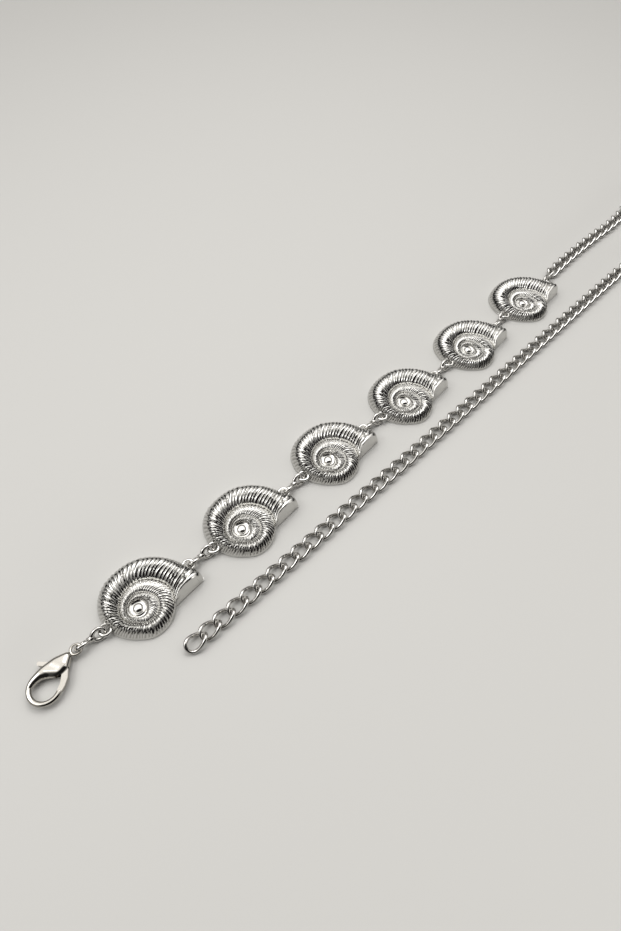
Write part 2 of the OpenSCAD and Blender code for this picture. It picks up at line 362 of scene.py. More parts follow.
@dataclass(frozen=True)
class Finish:
    """A metal surface: its colour, its gloss and the fine relief that its making left.

    Args:
        name: what the real finish is.
        colour: the metal's own colour, sRGB hex.
        shade: the same metal where it is thinner or worn, sRGB hex.
        gloss: lowest and highest roughness.
        grain: size of the cast or rolled grain, in mm.
        relief: height of that grain, in mm.
        cloud: size of the slow changes in colour and gloss, in mm.
        groove_shade: how far painted shade darkens the colour in grooves, from 0 to 1.
        metal: 1 for bare metal, less where a matt skin scatters the light.
    """

    name: str
    colour: str
    shade: str
    gloss: Pair
    grain: float
    relief: float
    cloud: float = 6.0
    groove_shade: float = 0.0
    metal: float = 1.0

    def material(self) -> bpy.types.Material:
        """Builds the finish as a material on Object coordinates."""
        known = bpy.data.materials.get(self.name)
        if known:
            return known
        made = bpy.data.materials.new(self.name)
        made.use_nodes = True
        tree = made.node_tree
        tree.nodes.clear()
        place = add_node(tree, "ShaderNodeTexCoord").outputs["Object"]
        cloud = add_node(tree, "ShaderNodeTexNoise",
                         {"Scale": 1 / (self.cloud * MM), "Detail": 3.0, "Roughness": 0.55},
                         {"Vector": place})
        grain = add_node(tree, "ShaderNodeTexNoise",
                         {"Scale": 1 / (self.grain * MM), "Detail": 4.0, "Roughness": 0.6},
                         {"Vector": place})
        tone = add_node(tree, "ShaderNodeMix", {"data_type": "RGBA", MIX_A: linear(self.colour),
                                                MIX_B: linear(self.shade)},
                        {"0": cloud.outputs["Fac"]})
        colour = tone.outputs[MIX_RESULT]
        # painted shade: the colour is darkened towards the groove colour where the recess attribute
        # marks a rib valley
        if self.groove_shade:
            groove = add_node(tree, "ShaderNodeAttribute", {"attribute_name": "groove_shade"})
            depth = add_node(tree, "ShaderNodeMapRange", {"To Max": self.groove_shade},
                             {"Value": groove.outputs["Fac"]})
            dark = add_node(tree, "ShaderNodeMix", {"data_type": "RGBA", "blend_type": "MULTIPLY",
                                                    MIX_B: linear(GROOVE_SHADE_COLOUR)},
                            {"0": depth.outputs["Result"], MIX_A: colour})
            colour = dark.outputs[MIX_RESULT]
        gloss = add_node(tree, "ShaderNodeMapRange",
                         {"From Min": 0.3, "From Max": 0.7, "To Min": self.gloss[0],
                          "To Max": self.gloss[1]}, {"Value": cloud.outputs["Fac"]})
        bump = add_node(tree, "ShaderNodeBump", {"Distance": self.relief * MM, "Strength": 1.0},
                        {"Height": grain.outputs["Fac"]})
        metal = add_node(tree, "ShaderNodeBsdfPrincipled", {"Metallic": self.metal},
                         {"Base Color": colour, "Roughness": gloss.outputs["Result"],
                          "Normal": bump.outputs["Normal"]})
        add_node(tree, "ShaderNodeOutputMaterial", None, {"Surface": metal.outputs["BSDF"]})
        return made


# Bright rhodium-coloured plating over a zinc casting: mirror bright, slightly wavy from the mould
# its last number sets how strongly painted shade darkens the rib valleys
BRIGHT_CASTING = Finish("bright_plated_zinc_casting", "DAD9D6", "C4C3C0", (0.04, 0.1), 0.9, 0.005,
                        5.0, 0.75)
# The same casting's flat mouth: left as cast under the plating, so it is matt and a little warm
MATT_MOUTH = Finish("matt_cast_mouth", "EDE8E1", "DDD7CF", (0.42, 0.52), 0.25, 0.004, metal=0.35)
# Polished nickel over die-cast zinc: warm, with a soft gleam
WARM_NICKEL = Finish("polished_warm_nickel", "C2BFB9", "A9A59E", (0.1, 0.17), 0.5, 0.0012)
# Plated steel wire, tumbled: bright with a fine drawn texture
PLATED_WIRE = Finish("plated_steel_wire", "D0CECB", "B8B6B2", (0.05, 0.11), 0.6, 0.002)


def dress(piece: Piece, finishes: list[Finish], body: Body) -> None:
    """Gives a finished piece its materials and the body it moves with.

    Args:
        piece: the object.
        finishes: one for each material index of its mesh.
        body: the body that it rides on.
    """
    piece.data.materials.clear()
    for finish in finishes:
        piece.data.materials.append(finish.material())
    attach(piece, body.value)
    LOG.info("%s: %d faces", piece.name, len(piece.data.polygons))


# The ammonite shells


@dataclass
class AmmoniteShell:
    """One cast shell, modelled round its bead and copied to each place in the row.

    Lengths are in mm. Pairs that end in _turns say from which turn on, and over how much of one.

    Args:
        width, height: what the spiral's reach, and the crest and the seam, are shares of.
        rim: height of the plain rim.
        rib, inner_rib: an outer rib's height, and an inner one's share of it.
        corner, corner_rate: radius of the mouth's corner, and how fast it ends, a rib.
        flare, lean_back: how far the mouth's lip stands out, and its top leans back.
        mouth_ease: ribs over which the whorl eases into the mouth's cut.
        mouth_angle, mouth_lean: the mouth's direction and its turn, in degrees.
        rib_lean: how far a rib's outer end lags, in ribs.
        oval: the rib and the share across where the oval of growth lines lies.
        bevel, lumps: depth of the rim's bevel, height of the rough band.
        lip: shares that the mouth's edge shrinks to, each with its depth.
        bead_r, bead_top, bead_zone: the bead's radius, share of the height, and zone.
        groove: radius and depth of the groove round the bead.
        ribs, columns_a_rib, rows: ribs a turn, and the mesh's columns and rows.
        loop_r, loop_wire, loop_z, loop_out: a loop's radius, wire, height, way out.
        loop_columns: the ribs at which the loops stand.
    """

    width: float = 39.0
    height: float = 6.4
    rim: float = 0.9
    rib: float = 0.55
    inner_rib: float = 0.55
    corner: float = 1.9
    corner_rate: float = 2.5
    flare: float = 0.5
    lean_back: float = 1.7
    mouth_ease: float = 4.0
    mouth_angle: float = -37.0
    mouth_lean: float = 20.0
    rib_lean: float = 2.2
    oval: Pair = (2.0, 0.45)
    bevel: float = 0.15
    lumps: float = 0.16
    lip: tuple[Pair, ...] = ((0.955, 0.0), (0.985, 0.12))
    bead_r: float = 2.1
    bead_top: float = 0.66
    bead_zone: float = 4.0
    groove: tuple[Pair, ...] = ((2.85, 0.2), (2.4, 0.5), (2.142, 0.45))
    ribs: int = 60
    columns_a_rib: int = 6
    rows: int = 30
    loop_r: float = 2.1
    loop_wire: float = 1.3
    loop_z: float = 2.35
    loop_out: float = 0.6
    loop_columns: tuple[int, int] = (35, 4)
    climb_turns: Pair = (0.88, 0.16)
    rim_turns: Pair = (0.94, 0.1)
    inner_turns: Pair = (1.0, 0.15)
    plain_turns: Pair = (2.3, 0.5)
    flat_turns: Pair = (2.6, 0.4)

    # the edge's reach at each twelfth of a turn; the crest's and the seam's height at each quarter
    spiral: Array = table(
        0.660, 0.588, 0.558, 0.532, 0.485, 0.448, 0.385, 0.325, 0.288, 0.283, 0.315, 0.335,
        0.345, 0.342, 0.308, 0.272, 0.224, 0.193, 0.176, 0.166, 0.155, 0.146, 0.168, 0.187,
        0.195, 0.186, 0.162, 0.148, 0.126, 0.111, 0.104, 0.110, 0.108, 0.105, 0.100, 0.090, 0.082)
    crest: Array = table(
        0.96, 1.00, 0.90, 0.66, 0.70, 0.74, 0.70, 0.64, 0.66, 0.66, 0.63, 0.58, 0.52)
    seam: Array = table(
        0.44, 0.44, 0.44, 0.44, 0.44, 0.50, 0.50, 0.50, 0.52, 0.52, 0.50, 0.48, 0.46)

    # at each quarter turn: the plain rim's width in mm, the crest's side, how full the dome is
    flange: Array = table(0.05, 0.1, 0.15, 0.06, 0.05)
    skew: Array = table(0.72, 1.0, 1.1, 1.25, 1.2, 1.2, 1.2)
    fullness: Array = table(0.4, 0.6, 0.75, 0.95, 0.7, 0.6, 0.6)

    def after(self, i: Array, turns: Pair) -> Array:
        """Goes softly from 0 to 1 from one of the _turns pairs on."""
        start, over = turns
        return eased((i - start * self.ribs) / (over * self.ribs))

    def angle(self, i: Array | float) -> Array:
        """Gives the direction of a column from the bead, in degrees."""
        lean = self.mouth_lean * (1 - eased(4 * i / self.ribs))
        return self.mouth_angle + 360 * i / self.ribs + lean

    def reach(self, i: Array | float) -> Array:
        """Gives the spiral edge's distance from the bead, in mm."""
        return self.width * between(self.spiral, np.asarray(i) * 12 / self.ribs)

    def edge_z(self, i: Array) -> Array:
        """Gives the spiral edge's height: the rim's, then the seam's, in mm."""
        seam = self.height * between(self.seam, 4 * i / self.ribs)
        return mix(self.rim, seam, self.after(i, self.climb_turns))

    def ribs_at(self, i: Array, v: Array) -> Array:
        """Gives the ribs' height at a place of the whorls.

        Args:
            i: the place along the spiral, in ribs from the mouth.
            v: the share of the way across the whorl.

        Returns:
            The height as a share of a full rib.
        """
        lean = self.rib_lean * eased((i - 1) / 9)
        wander = 0.13 * np.sin(0.93 * i + 1) + 0.09 * np.sin(2.31 * i)
        plain = 0.5 + 0.5 * np.cos(2 * np.pi * (i + wander + lean * (1 - v) ** 1.4))
        # the small oval of growth lines just before the mouth, in rings round its middle
        along, across = (i - self.oval[0]) * 1.55, (v - self.oval[1]) * 12.5
        ring = np.hypot(along / 0.85, across / 1.2)
        oval = 0.5 + 0.5 * np.cos(2 * np.pi * ring + 0.4)
        return mix(plain, 1.5 * oval, eased((2.1 - ring) / 0.5)) ** 0.8

    def rib_strength(self, i: Array, w: Array) -> Array:
        """Gives a full rib's height in mm: less inside, at its ends and at the mouth."""
        fewer = mix(1.0, self.inner_rib, self.after(i, self.inner_turns))
        strength = self.rib * fewer * (1 - self.after(i, self.plain_turns))
        strength = strength * eased(w / 0.05) * eased((1 - w) / 0.05)
        uneven = 0.86 + 0.14 * np.sin(3.1 * np.round(i))
        return strength * (0.7 + 0.3 * eased(i / 2)) * uneven

    def lumps_at(self, i: Array, v: Array) -> Array:
        """Gives the rough cast band just inside the mouth, in mm."""
        lumps = np.sin(6.3 * i + 2.5 * np.sin(19 * v)) * np.sin(37 * v + 1.7 * i)
        lumps = lumps * eased((i - 1.02 * self.ribs) / 2) * (1 - eased((i - 1.3 * self.ribs) / 8))
        return self.lumps * lumps * eased((0.5 - v) / 0.2) * eased(v / 0.08)

    def relief(self, i: Array, v: Array) -> tuple[Array, Array]:
        """Places the whorls' surface.

        Args:
            i: the place along the spiral, in ribs from the mouth.
            v: the share of the way across the whorl.

        Returns:
            Points in mm round the bead, and how deep each lies in a groove, from 0 to 1, which the
            finish turns into painted shade.
        """
        n = self.ribs
        quarter = 4 * i / n
        near = 1 - eased(i / self.mouth_ease)
        # the mouth's outer corner is rounded
        short = np.maximum(self.corner - self.corner_rate * i, 0)
        cut = self.corner - np.sqrt(self.corner ** 2 - short ** 2) - self.flare * near
        r0, r1 = self.reach(i) - cut, self.reach(i + n)
        # a whorl's cross-section: a plain ledge at the rim, then a dome up to the crest
        outer = 1 - self.after(i, self.rim_turns)
        ledge = between(self.flange, quarter) * outer / np.maximum(r0 - r1, 1.0)
        w = np.clip((v - ledge) / (1 - ledge), 0, 1)
        across = w ** between(self.skew, quarter)
        dome = np.maximum(1 - (2 * across - 1) ** 2, 0) ** between(self.fullness, quarter)
        foot = mix(self.edge_z(i), self.edge_z(i + n), v)
        crest = self.height * between(self.crest, quarter)
        fade = 1 - self.after(i, self.flat_turns)
        rib = self.ribs_at(i, v)
        strength = self.rib_strength(i, w)
        lift = strength * (rib - 0.3)
        # the ribs also stand out sideways
        r = mix(r0, r1, v) + lift * (0.5 - w) * 1.4 * eased(i / 0.5)
        a = np.radians(mix(self.angle(i), self.angle(i + n) - 360, v))
        x, y = r * np.cos(a), r * np.sin(a)
        # the mouth is cut straight across, and the columns behind it ease into that line
        reach = [float(self.reach(0)) - self.corner + self.flare, float(self.reach(n))]
        ends = np.radians([float(self.angle(0)), float(self.angle(n)) - 360])
        corners = [reach[k] * np.array([math.cos(ends[k]), math.sin(ends[k])]) for k in (0, 1)]
        mouth_r, mouth_a = mix(reach[0], reach[1], v), mix(ends[0], ends[1], v)
        x += near * (mix(corners[0][0], corners[1][0], v) - mouth_r * np.cos(mouth_a))
        y += near * (mix(corners[0][1], corners[1][1], v) - mouth_r * np.sin(mouth_a))
        # the rim is bevelled outwards
        bevel = self.bevel * outer * (1 - eased(v / np.maximum(ledge, 0.02))) * eased(i / 3)
        z = foot - bevel + (crest - foot) * dome * fade + lift * dome + self.lumps_at(i, v)
        back = self.lean_back * (1 - eased(i / 5)) * np.clip(z / self.height, 0, 1)
        back = back * eased((1 - v) / 0.3)
        along = (corners[0] - corners[1]) / np.hypot(*(corners[0] - corners[1]))
        x, y = x - back * along[1], y + back * along[0]
        # painted shade: rib valleys are marked so that the finish darkens them
        groove_shade = eased(strength / self.rib) * (1 - rib) * 0.8
        return np.stack([x, y, z], -1), groove_shade

    def open_edge(self, piece: Piece, at_bead: bool) -> Array:
        """Finds the points of the open edge round the bead, or of the mouth's."""
        with editing(piece):
            bpy.ops.mesh.select_all(action="DESELECT")
            bpy.ops.mesh.select_non_manifold(use_wire=False, use_multi_face=False,
                                             use_non_contiguous=False, use_verts=False)
        far = np.hypot(*places(piece)[:, :2].T) > self.bead_zone * MM
        return picked(piece) & (far != at_bead)

    def build(self) -> Piece:
        """Models the shell round its bead: relief, rim, flat back, mouth, bead and two loops."""
        deselect()
        bpy.ops.mesh.primitive_grid_add(x_subdivisions=3 * self.ribs * self.columns_a_rib,
                                        y_subdivisions=self.rows, size=2)
        piece = bpy.context.active_object
        grid = places(piece)
        i = (grid[:, 0] + 1) / 2 * 3 * self.ribs
        v = 0.5 - 0.5 * np.cos(np.pi * (grid[:, 1] + 1) / 2)
        v = np.where(grid[:, 1] < -0.9999, 0.0, np.where(grid[:, 1] > 0.9999, 1.0, v))
        points, groove_shade = self.relief(i, v)
        put(piece, points * MM)
        # the painted shade of the rib valleys is kept on the mesh for the finish to read
        depth = piece.data.attributes.new("groove_shade", "FLOAT", "POINT")
        depth.data.foreach_set("value", groove_shade)
        pick(piece, (v == 0.0) & (i <= self.ribs + 1e-6))
        with editing(piece):
            bpy.ops.mesh.extrude_edges_move()
            bpy.ops.transform.resize(value=(1, 1, 0), center_override=(0, 0, 0))
            bpy.ops.mesh.select_all(action="SELECT")
            bpy.ops.mesh.remove_doubles(threshold=2e-6)
        pick(piece, np.abs(places(piece)[:, 2]) < 1e-7)
        with editing(piece):
            bpy.ops.mesh.edge_face_add()
        self.close_mouth(piece, self.open_edge(piece, at_bead=False))
        self.raise_bead(piece, self.open_edge(piece, at_bead=True))
        pick(piece, np.ones(len(piece.data.vertices), dtype=bool))
        with editing(piece):
            bpy.ops.mesh.normals_make_consistent(inside=False)
        loops = [wire_ring(self.loop_r, self.loop_wire, (*self.loop_place(column), self.loop_z))
                 for column in self.loop_columns]
        piece = joined([piece, *loops], "ammonite")
        smoothed(piece, 50)
        return piece

    def close_mouth(self, piece: Piece, edge: Array) -> None:
        """Closes the upright mouth with a sunk matt face inside a bright lip."""
        piece.data.materials.clear()
        for finish in (BRIGHT_CASTING, MATT_MOUTH):
            piece.data.materials.append(finish.material())
        points = places(piece)[edge]
        middle = (points.max(axis=0) + points.min(axis=0)) / 2
        across = points[np.argmax(points[:, 0])] - points[np.argmin(points[:, 0])]
        inward = np.array([-across[1], across[0], 0]) / np.hypot(across[0], across[1])
        if inward @ -middle < 0:
            inward = -inward
        pick(piece, edge)
        with editing(piece):
            for shrink, depth in self.lip:
                bpy.ops.mesh.extrude_edges_move(
                    TRANSFORM_OT_translate={"value": tuple(inward * depth * MM)})
                bpy.ops.transform.resize(value=(shrink, shrink, shrink ** 2),
                                         center_override=tuple(middle))
            bpy.ops.mesh.extrude_edges_move(TRANSFORM_OT_translate={"value": (0, 0, 0)})
            bpy.ops.mesh.merge(type="CENTER")
            bpy.ops.mesh.select_more()
            piece.active_material_index = 1
            bpy.ops.object.material_slot_assign()

    def raise_bead(self, piece: Piece, edge: Array) -> None:
        """Raises the bead from the inner edge: a groove, then a round cap.

        Args:
            piece: the shell.
            edge: the inner edge's points.
        """
        floor = self.height * self.seam[-1]
        top = self.height * self.bead_top
        rings = [(r, floor - depth) for r, depth in self.groove]
        rings += [(self.bead_r * math.cos(t) ** 0.85, mix(floor - 0.35, top, math.sin(t) ** 0.9))
                  for t in np.radians([4, 14, 26, 38, 50, 62, 73, 83])]
        pick(piece, edge)
        radius, level = float(self.reach(3 * self.ribs)), floor
        with editing(piece):
            for r, z in rings:
                bpy.ops.mesh.extrude_edges_move(
                    TRANSFORM_OT_translate={"value": (0, 0, (z - level) * MM)})
                bpy.ops.transform.resize(value=(r / radius, r / radius, 1),
                                         center_override=(0, 0, 0))
                radius, level = r, z
            bpy.ops.mesh.merge(type="CENTER")

    def loop_place(self, column: int) -> Pair:
        """Gives the centre of a cast loop from the bead, in mm."""
        r = float(self.reach(column)) + self.loop_out
        a = math.radians(float(self.angle(column)))
        return r * math.cos(a), r * math.sin(a)


# Double links, clasp and curb chain


@dataclass
class DoubleLink:
    """Two rings turned out of the table's plane and joined at a twisted waist.

    Args:
        length, ring_r: between its end wires' middles, and a ring's radius, in mm.
        wire, drawn_wire: thickness that its place goes by, and as modelled, in mm.
        tilt: how far each ring is turned out of the table's plane, in degrees.
        stretch: how much longer each ring's inner half is drawn.
        waist, waist_bite: the waist's thickness, and its way into the rings, in mm.
        grain: size of the mesh that fuses the parts, in mm.
    """

    length: float = 11.15
    ring_r: float = 2.1
    wire: float = 1.25
    drawn_wire: float = 1.45
    tilt: float = 56.0
    stretch: float = 1.3
    waist: float = 2.3
    waist_bite: float = 2.0
    grain: float = 0.12

    @property
    def level(self) -> float:
        """Height of its middle above the table."""
        return self.ring_r * math.sin(math.radians(self.tilt)) + self.drawn_wire / 2

    def build(self, side: int) -> Piece:
        """Models a double link round its middle, along x.

        Args:
            side: which way its near ring is turned, 1 or -1.

        Returns:
            The object.
        """
        parts = []
        for s in (-1, 1):
            ring = wire_ring(self.ring_r, self.drawn_wire, (0, 0, 0), s * side * self.tilt, 64, 24)
            spots = places(ring)
            outward = eased(s * spots[:, 0] / (self.ring_r * MM))
            spots[:, 0] = spots[:, 0] * mix(self.stretch, 1.0, outward)
            spots[:, 0] += s * (self.length / 2 - self.ring_r) * MM
            put(ring, spots)
            parts.append(ring)
        deselect()
        depth = self.length - 4 * self.ring_r * self.stretch + self.waist_bite
        bpy.ops.mesh.primitive_cylinder_add(vertices=32, radius=self.waist / 2 * MM,
                                            depth=depth * MM, rotation=(0, math.pi / 2, 0))
        waist = bpy.context.active_object
        settled(waist)
        piece = joined([*parts, waist], "double_link")
        applied(piece, "REMESH", mode="VOXEL", voxel_size=self.grain * MM)
        applied(piece, "SMOOTH", factor=0.5, iterations=5)
        smoothed(piece)
        return piece


@dataclass
class LobsterClasp:
    """The clasp's cast body, in its own frame: the eye at the origin, x to the middle of the bow.

    Lengths are in mm. The places in tuples are shares of the bow's distance from the eye.

    Args:
        bow_r, bow_wire, bow_at: the bow's radius, wire and distance.
        eye_r, eye_wire: the eye's radius and wire.
        shoulder_t, lever_t: thickness of the shoulder and of the lever.
        hub_r, rivet_d: radius of the lever's hub, and the rivet's diameter.
        gap, bore_gap: room round the lever and round the rivet.
        turn: the clasp's direction on the table, in degrees.
        hook_from, arm_from: where the bow ends at the hook and at the arm, in degrees.
        pivot: the rivet's place.
        shoulder: balls that the form is drawn over: a place and a share of shoulder_t.
        cheeks: which balls share one tight skin.
        gate_slot, thumb_slot: outlines of the lever's slots, round the rivet.
        forming, casting: mesh size and rounds of smoothing, for the shoulder and for all.
    """

    bow_r: float = 5.4
    bow_wire: float = 2.0
    bow_at: float = 15.3
    eye_r: float = 1.9
    eye_wire: float = 1.1
    shoulder_t: float = 4.4
    lever_t: float = 1.6
    hub_r: float = 1.55
    rivet_d: float = 1.3
    gap: float = 0.15
    bore_gap: float = 0.02
    turn: float = 196.5
    hook_from: float = 112.0
    arm_from: float = -118.0
    pivot: Pair = (0.412, 0.039)
    shoulder: tuple[Point, ...] = (
        (0.235, -0.055, 0.80), (0.430, 0.035, 0.98), (0.450, -0.165, 0.98), (0.560, 0.025, 0.90),
        (0.620, -0.235, 0.90), (0.645, -0.015, 0.70), (0.740, -0.270, 0.90), (0.730, -0.140, 0.66),
        (0.830, -0.287, 0.88), (0.930, -0.313, 0.77), (1.030, -0.325, 0.67), (1.100, -0.322, 0.58),
        (1.177, -0.306, 0.47))
    cheeks: tuple[tuple[int, ...], ...] = (
        (0, 1, 2), (1, 2, 3, 4), (3, 4, 5, 6), (5, 6, 7), (6, 7, 8), (8, 9), (9, 10), (10, 11),
        (11, 12))
    gate_slot: tuple[Pair, ...] = (
        (-0.065, 0.078), (0.150, 0.294), (0.497, 0.294), (0.497, 0), (0.193, -0.049), (0, -0.105))
    thumb_slot: tuple[Pair, ...] = (
        (-0.105, -0.026), (-0.020, -0.621), (0.366, -0.621), (0.098, -0.013))
    forming: tuple[float, int] = (0.16, 30)
    casting: tuple[float, int] = (0.13, 8)

    def shoulder_ball(self, place: Point) -> Piece:
        """Makes a ball of the shoulder from its place and its share of the thickness."""
        return ball((place[0] * self.bow_at, place[1] * self.bow_at), place[2] * self.shoulder_t)

    def bow(self) -> Piece:
        """Makes the open bow: a ring with the gate's stretch cut out and both ends closed."""
        ring = wire_ring(self.bow_r, self.bow_wire, (self.bow_at, 0, 0), 0, 120, 24)
        points = places(ring) / MM
        angle = np.degrees(np.arctan2(points[:, 1], points[:, 0] - self.bow_at))
        pick(ring, (angle > self.hook_from) | (angle < self.arm_from))
        with editing(ring):
            bpy.ops.mesh.delete(type="VERT")
            bpy.ops.mesh.select_all(action="SELECT")
            bpy.ops.mesh.fill_holes(sides=40)
        return ring

    def cut(self, body: Piece, cutter: Piece) -> None:
        """Takes a cutter's shape out of the body and deletes the cutter."""
        applied(body, "BOOLEAN", operation="DIFFERENCE", solver="EXACT", object=cutter)
        bpy.data.objects.remove(cutter, do_unlink=True)

    def post(self, radius: float, depth: float) -> Piece:
        """Makes a round post at the rivet's place."""
        deselect()
        bpy.ops.mesh.primitive_cylinder_add(
            vertices=64, radius=radius * MM, depth=depth * MM,
            location=(self.pivot[0] * self.bow_at * MM, self.pivot[1] * self.bow_at * MM, 0))
        made = bpy.context.active_object
        settled(made)
        return made

    def plate(self, outline: tuple[Pair, ...], thickness: float) -> Piece:
        """Makes a flat plate from an outline round the rivet, in shares of the bow's distance."""
        deselect()
        bpy.ops.mesh.primitive_circle_add(vertices=len(outline), radius=1, fill_type="NGON")
        made = bpy.context.active_object
        spots = [((x + self.pivot[0]) * self.bow_at, (y + self.pivot[1]) * self.bow_at,
                  -thickness / 2) for x, y in outline]
        put(made, np.array(spots) * MM)
        pick(made, np.ones(len(outline), dtype=bool))
        with editing(made):
            bpy.ops.mesh.extrude_region_move(
                TRANSFORM_OT_translate={"value": (0, 0, thickness * MM)})
            bpy.ops.mesh.select_all(action="SELECT")
            bpy.ops.mesh.normals_make_consistent(inside=False)
        return made

    def fused(self, piece: Piece, how: tuple[float, int]) -> None:
        """Fuses a piece's parts to one even skin and smooths it."""
        applied(piece, "REMESH", mode="VOXEL", voxel_size=how[0] * MM)
        applied(piece, "SMOOTH", factor=0.5, iterations=how[1])

    def build(self) -> Piece:
        """Models the body: shoulder, arm, bow and eye as one casting, with the lever's slot."""
        cheeks = [drawn_over([self.shoulder_ball(self.shoulder[k]) for k in group], "cheek")
                  for group in self.cheeks]
        shoulder = joined(cheeks, "clasp_shoulder")
        self.fused(shoulder, self.forming)
        eye = wire_ring(self.eye_r, self.eye_wire, (0, 0, 0), 0, 64, 24)
        body = joined([shoulder, self.bow(), eye], "clasp")
        self.fused(body, self.casting)
        slot_t = self.lever_t + 2 * self.gap
        self.cut(body, self.plate(self.gate_slot, slot_t))
        self.cut(body, self.plate(self.thumb_slot, slot_t))
        self.cut(body, self.post(self.hub_r + self.gap, slot_t))
        self.cut(body, self.post(self.rivet_d / 2 + self.bore_gap, 2 * self.shoulder_t))
        smoothed(body, 40)
        return body


@dataclass
class CurbChain:
    """The long chain of twisted curb links, from the last double link round to its free end.

    Args:
        links, pitch: how many links, and the distance between them, in mm.
        half_length, half_width: from a link's centre to its wire's middle, in mm.
        rise, wire: how far the twist lifts the wire, and its thickness, in mm.
        around, across: mesh segments round a link and round the wire.
        steps: how finely the route is walked.
        route: the chain's way from the first link's centre, in mm.
    """

    links: int = 88
    pitch: float = 6.5
    half_length: float = 4.15
    half_width: float = 2.7
    rise: float = 1.25
    wire: float = 1.5
    around: int = 44
    across: int = 14
    steps: int = 12
    route: tuple[Pair, ...] = (
        (0, 0), (16.8, 1.1), (36.8, 1.5), (50.2, 1.4), (63.2, 1.2), (75.2, 2), (88.2, 3.6),
        (101, 2.2), (113.5, -6.6), (120.9, -21.8), (120.9, -38.5), (113.1, -51.6), (99.6, -59),
        (84.1, -58.8), (71.7, -52.2), (63.2, -42.8), (55.2, -34.3), (45.5, -28.6), (33.5, -26.2),
        (16.8, -25.9), (-43.2, -26.9), (-103.2, -28.1), (-163.2, -28.8), (-223.2, -29.2),
        (-278.2, -29.7), (-301.2, -29.9))

    def centres(self, start: Array) -> Array:
        """Walks the route and gives each link's centre.

        Args:
            start: the first link's centre, in mm.

        Returns:
            One row of x and y a link.
        """
        table = np.array(self.route, dtype=float)
        at = np.arange((len(table) - 1) * self.steps) / self.steps
        path = between(table, at) + start
        here, k, found = path[0], 0, []
        for _ in range(self.links):
            found.append(here)
            while k + 2 < len(path) and np.linalg.norm(path[k + 1] - here) < self.pitch:
                k += 1
            d, e = path[k + 1] - path[k], path[k] - here
            q, h, c = d @ d, d @ e, e @ e - self.pitch ** 2
            here = path[k] + d * ((-h + math.sqrt(max(h * h - q * c, 0))) / q)
        return np.array(found)

    def link(self) -> Piece:
        """Models one link: a ring drawn out to an oval and twisted, its corners lifted in turn."""
        ring = wire_ring(self.half_length, self.wire, (0, 0, 0), 0, self.around, self.across)
        points = places(ring) / MM
        a = np.arctan2(points[:, 1], points[:, 0])
        out = np.hypot(points[:, 0], points[:, 1]) - self.half_length
        up = points[:, 2]
        line = np.stack([self.half_length * np.cos(a), self.half_width * np.sin(a),
                         -self.rise * np.sin(2 * a)], -1)
        along = np.stack([-self.half_length * np.sin(a), self.half_width * np.cos(a),
                          -2 * self.rise * np.cos(2 * a)], -1)
        along /= np.linalg.norm(along, axis=1)[:, None]
        side = np.cross(along, [0.0, 0.0, 1.0])
        side /= np.linalg.norm(side, axis=1)[:, None]
        over = np.cross(side, along)
        put(ring, (line + side * out[:, None] + over * up[:, None]) * MM)
        return ring

    def build(self, start: Array) -> Piece:
        """Models the whole chain.

        Args:
            start: the first link's centre, in mm.

        Returns:
            The chain as one object.
        """
        link = self.link()
        spots = self.centres(start)
        level = self.rise + self.wire / 2
        copies = []
        for n, spot in enumerate(spots):
            a, b = spots[max(n - 1, 0)], spots[min(n + 1, len(spots) - 1)]
            turn = math.degrees(math.atan2(b[1] - a[1], b[0] - a[0]))
            copies.append(placed(link, f"link_{n}", spot, level, turn))
        bpy.data.objects.remove(link, do_unlink=True)
        chain = joined(copies, "chain_of_curb_links")
        smoothed(chain)
        return chain


